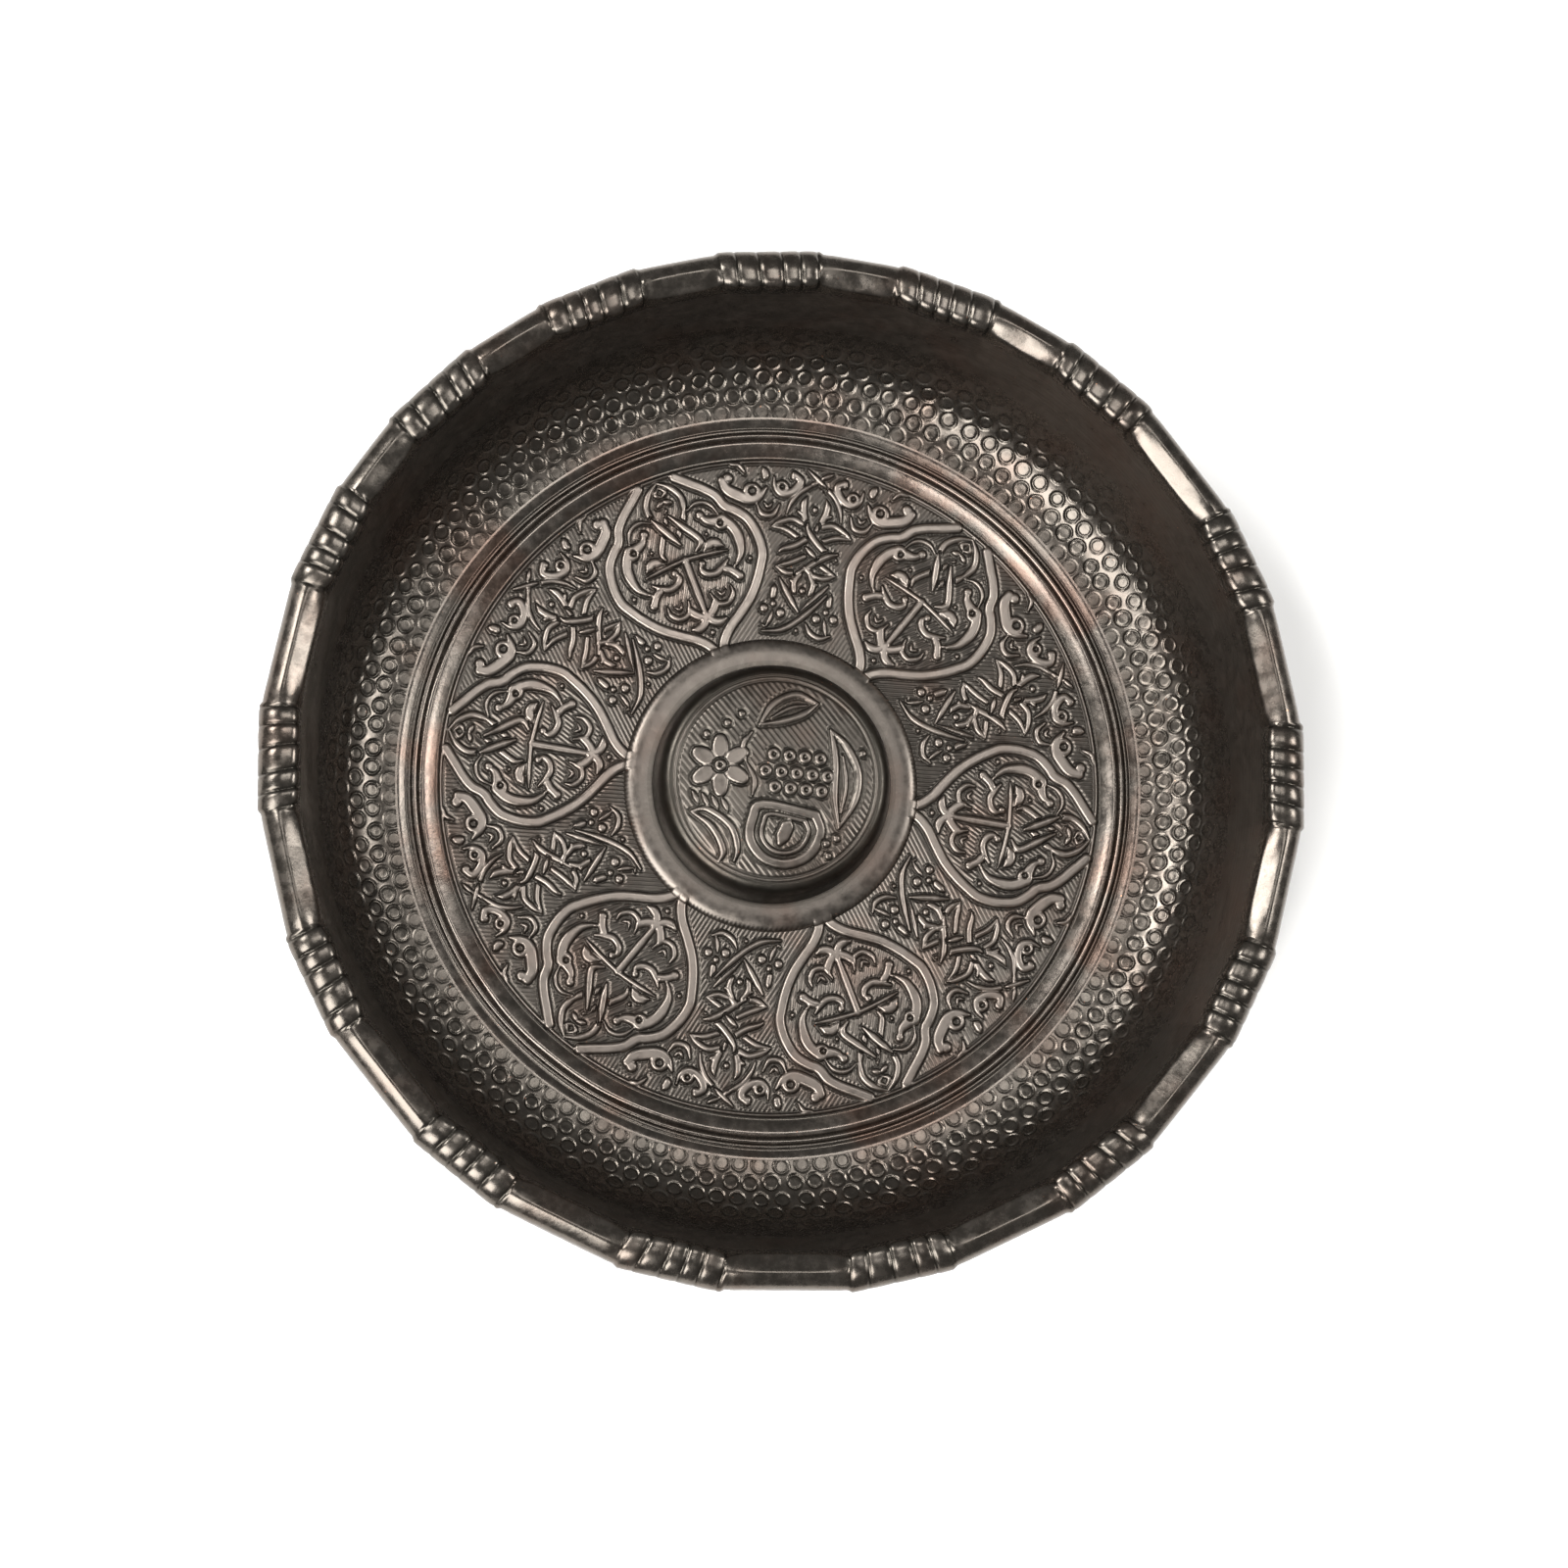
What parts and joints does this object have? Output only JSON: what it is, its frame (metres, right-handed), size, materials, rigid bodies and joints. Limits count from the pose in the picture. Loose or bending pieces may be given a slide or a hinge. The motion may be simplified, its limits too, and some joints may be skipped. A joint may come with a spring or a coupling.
{
  "type": "hammam bowl",
  "caption": "Shallow round bowl in dark patinated copper with a raised centre boss, stamped arabesque floor, ring-punched belly and a crimped, rolled rim over a wire.",
  "frame": {"origin": "centre of the underside, on the plane that the flat floor rests on", "axes": "+Z out of the bowl along its axis; +Y towards a narrow pair of rim crimps, +X to the right of it seen from above"},
  "size_m": [0.1991, 0.1991, 0.034],
  "materials": {
    "dark_copper": "dark oxidised copper, satin to glossy, worn lighter on the raised ornament",
    "iron_wire": "dull drawn iron wire"
  },
  "bodies": {
    "root": {"copper_bowl": "dark_copper", "rim_wire": "iron_wire"}
  },
  "joints": []
}
